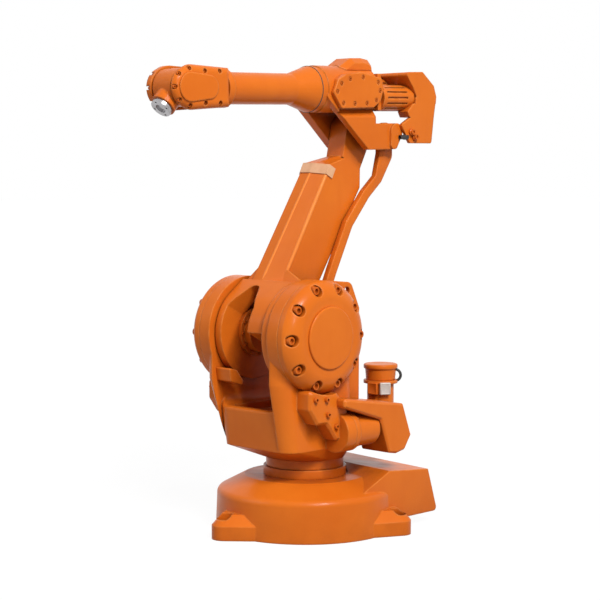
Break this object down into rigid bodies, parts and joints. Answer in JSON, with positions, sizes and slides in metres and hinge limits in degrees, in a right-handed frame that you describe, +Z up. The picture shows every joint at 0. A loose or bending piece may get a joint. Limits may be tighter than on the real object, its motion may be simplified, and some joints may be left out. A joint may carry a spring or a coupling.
{
  "type": "industrial robot arm",
  "caption": "Floor-standing jointed industrial robot arm with a turning yoke, a forked lower arm, a parallel rod linkage and a rolling forearm with a tilting wrist and tool flange.",
  "frame": {"origin": "on the turning axis, at floor level, in the middle of the three foot bolts", "axes": "+Z up along the turning axis, +X towards the front foot lug, +Y to the left of the foot"},
  "size_m": [1.1331, 0.618, 1.473],
  "materials": {
    "orange_paint": "semi-gloss",
    "flange_steel": "machined",
    "pin_steel": "oiled",
    "pale_band": "matt"
  },
  "bodies": {
    "foot": {"foot_casting": "orange_paint", "neck_ring": "orange_paint"},
    "turret": {"turret_casting": "orange_paint", "left_gear_housing": "orange_paint", "right_gear_housing": "orange_paint", "left_gear_cover": "orange_paint", "right_gear_cover": "orange_paint", "left_motor": "orange_paint", "right_motor": "orange_paint", "left_motor_cover": "orange_paint", "right_motor_cover": "orange_paint", "turning_motor": "orange_paint", "turning_motor_cap": "orange_paint", "arm_stop": "orange_paint"},
    "crank": {"parallel_crank": "orange_paint", "crank_pin": "pin_steel"},
    "lower_arm": {"lower_arm_casting": "orange_paint", "arm_drive_hub": "orange_paint", "lower_arm_band": "pale_band"},
    "rod": {"parallel_rod": "orange_paint"},
    "upper_arm": {"upper_arm_casting": "orange_paint", "elbow_pin": "pin_steel", "rod_pin": "pin_steel", "top_cover": "orange_paint", "left_side_cover": "orange_paint", "right_side_cover": "orange_paint", "near_back_motor": "orange_paint", "far_back_motor": "orange_paint", "back_motor_cover": "orange_paint"},
    "forearm": {"forearm_tube": "orange_paint", "wrist_collar": "orange_paint", "wrist_housing": "orange_paint", "left_wrist_cover": "orange_paint", "right_wrist_cover": "orange_paint"},
    "tilt_head": {"tilt_head": "orange_paint"},
    "turning_disc": {"turning_disc": "flange_steel"}
  },
  "joints": [
    {"name": "turret_turn", "type": "hinge", "parent": "foot", "child": "turret", "pos_m": [0, 0, 0.196], "axis": [0, 0, 1], "range_deg": [-187, 173]},
    {"name": "upper_arm_pitch", "type": "hinge", "parent": "turret", "child": "crank", "pos_m": [0.09925, 0.01219, 0.615], "axis": [-0.1219, 0.9925, 0], "range_deg": [-61.7, 63.3]},
    {"name": "lower_arm_lean", "type": "hinge", "parent": "crank", "child": "lower_arm", "pos_m": [0.09925, 0.01219, 0.615], "axis": [0.1219, -0.9925, 0], "range_deg": [-114.4, 50.6]},
    {"name": "rod_swing", "type": "hinge", "parent": "crank", "child": "rod", "pos_m": [0.00203, 0.00025, 0.61791], "axis": [0.1219, -0.9925, 0], "range_deg": [-115.4, 51.6]},
    {"name": "elbow_swing", "type": "hinge", "parent": "lower_arm", "child": "upper_arm", "pos_m": [-0.22602, -0.02775, 1.2392], "axis": [0.1219, -0.9925, 0], "range_deg": [-51.6, 115.4]},
    {"name": "forearm_roll", "type": "hinge", "parent": "upper_arm", "child": "forearm", "pos_m": [-0.22204, -0.02726, 1.37414], "axis": [0.9921, 0.1218, -0.0297], "range_deg": [-200, 200]},
    {"name": "wrist_tilt", "type": "hinge", "parent": "forearm", "child": "tilt_head", "pos_m": [0.527, 0.06471, 1.35174], "axis": [-0.1219, 0.9925, 0], "range_deg": [-165.3, 74.7]},
    {"name": "disc_turn", "type": "hinge", "parent": "tilt_head", "child": "turning_disc", "pos_m": [0.58454, 0.07177, 1.28958], "axis": [0.6769, 0.0831, -0.7314], "range_deg": [-400, 400]}
  ],
  "couplings": [
    {"joint": "rod_swing", "follows": "lower_arm_lean", "ratio": 1},
    {"joint": "elbow_swing", "follows": "lower_arm_lean", "ratio": -1}
  ]
}
